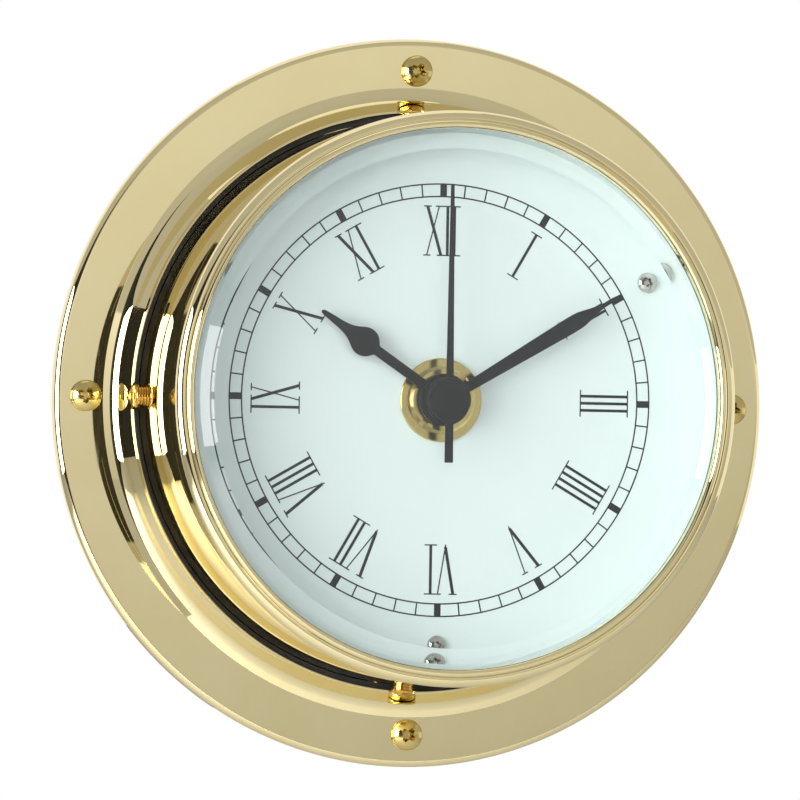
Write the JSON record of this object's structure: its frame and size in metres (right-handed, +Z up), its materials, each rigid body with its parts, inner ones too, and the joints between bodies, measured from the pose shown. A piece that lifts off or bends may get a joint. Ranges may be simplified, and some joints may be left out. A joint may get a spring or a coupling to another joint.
{
  "type": "marine clock",
  "caption": "Round brass marine clock: a drum with a bevelled glass and a white Roman dial, held in a wide base ring that screws to a bulkhead, with a battery movement inside.",
  "frame": {"origin": "centre of the base ring's back face, on the plane of the bulkhead", "axes": "+Y along the clock's axis into the bulkhead, +Z up towards 12 on the dial, +X to the right of someone who reads the dial"},
  "size_m": [0.1514, 0.0587, 0.1514],
  "materials": {
    "case_brass": "mirror polished and lacquered",
    "stud_brass": "bright, threaded",
    "turned_brass": "bright turned",
    "bright_steel": "bright zinc plated",
    "soft_iron": "stamped, matte",
    "copper_wire": "enamelled copper wire",
    "clear_glass": "polished, bevelled edge",
    "dial_white": "matte, pale bluish white",
    "hand_black": "matte black",
    "gasket_rubber": "matte",
    "housing_plastic": "fine matte",
    "wheel_plastic": "natural, moulded",
    "board_green": "solder resist",
    "chip_black": "matte",
    "battery_jacket": "plain printed jacket, satin"
  },
  "bodies": {
    "base": {"base_ring": "case_brass", "mounting_screw_1": "turned_brass", "mounting_screw_2": "turned_brass", "mounting_screw_3": "turned_brass", "mounting_screw_4": "turned_brass"},
    "clock": {"case_drum": "case_brass", "dial_seat": "case_brass", "stud_1": "stud_brass", "stud_2": "stud_brass", "stud_3": "stud_brass", "stud_4": "stud_brass", "bezel": "case_brass", "glass": "clear_glass", "glass_gasket": "gasket_rubber", "inner_ring": "dial_white", "dial": "dial_white", "dial_screw_1": "bright_steel", "dial_screw_2": "bright_steel", "dial_screw_3": "bright_steel", "washer": "turned_brass", "nut": "turned_brass", "housing_back": "housing_plastic", "housing_front": "housing_plastic", "train_bridge": "housing_plastic", "stator": "soft_iron", "coil_core": "soft_iron", "coil_bobbin": "wheel_plastic", "coil_winding": "copper_wire", "circuit_board": "board_green", "chip": "chip_black", "crystal": "bright_steel", "contact_plus": "bright_steel", "contact_minus": "bright_steel"},
    "second": {"second_hand": "hand_black", "second_wheel": "wheel_plastic", "second_arbor": "bright_steel"},
    "minute": {"minute_hand": "hand_black", "minute_pipe": "turned_brass", "centre_wheel": "wheel_plastic"},
    "hour": {"hour_hand": "hand_black", "hour_wheel": "wheel_plastic"},
    "third": {"third_wheel": "wheel_plastic"},
    "intermediate": {"intermediate_wheel": "wheel_plastic"},
    "rotor": {"rotor_magnet": "soft_iron", "rotor_pinion": "wheel_plastic"},
    "motion": {"minute_wheel": "wheel_plastic"},
    "setting": {"setting_wheel": "wheel_plastic", "setting_knob": "housing_plastic"},
    "battery": {"battery": "battery_jacket"}
  },
  "joints": [
    {"name": "clock_pull", "type": "slide", "parent": "base", "child": "clock", "axis": [0, -1, 0], "range_m": [0, 0.03]},
    {"name": "second_spin", "type": "hinge", "parent": "clock", "child": "second", "pos_m": [0, -0.02, 0], "axis": [0, 1, 0], "continuous": true},
    {"name": "minute_spin", "type": "hinge", "parent": "clock", "child": "minute", "pos_m": [0, -0.02, 0], "axis": [0, 1, 0], "continuous": true},
    {"name": "hour_spin", "type": "hinge", "parent": "clock", "child": "hour", "pos_m": [0, -0.02, 0], "axis": [0, 1, 0], "continuous": true},
    {"name": "third_spin", "type": "hinge", "parent": "clock", "child": "third", "pos_m": [-0.00649, -0.02, 0.00649], "axis": [0, 1, 0], "continuous": true},
    {"name": "intermediate_spin", "type": "hinge", "parent": "clock", "child": "intermediate", "pos_m": [0.0045, -0.02, 0.00608], "axis": [0, 1, 0], "continuous": true},
    {"name": "rotor_spin", "type": "hinge", "parent": "clock", "child": "rotor", "pos_m": [0.0045, -0.02, 0.01364], "axis": [0, 1, 0], "continuous": true},
    {"name": "motion_spin", "type": "hinge", "parent": "clock", "child": "motion", "pos_m": [0.0096, -0.02, 0], "axis": [0, 1, 0], "continuous": true},
    {"name": "setting_spin", "type": "hinge", "parent": "clock", "child": "setting", "pos_m": [0.01787, -0.02, 0.00694], "axis": [0, 1, 0], "continuous": true},
    {"name": "battery_slide", "type": "slide", "parent": "clock", "child": "battery", "axis": [0, 1, 0], "range_m": [0, 0.015]}
  ],
  "couplings": [
    {"joint": "minute_spin", "follows": "second_spin", "ratio": 0.016667},
    {"joint": "hour_spin", "follows": "second_spin", "ratio": 0.0013889},
    {"joint": "third_spin", "follows": "second_spin", "ratio": -0.13333},
    {"joint": "intermediate_spin", "follows": "second_spin", "ratio": -5},
    {"joint": "rotor_spin", "follows": "second_spin", "ratio": 30},
    {"joint": "motion_spin", "follows": "second_spin", "ratio": -0.0055556},
    {"joint": "setting_spin", "follows": "second_spin", "ratio": 0.011111}
  ]
}
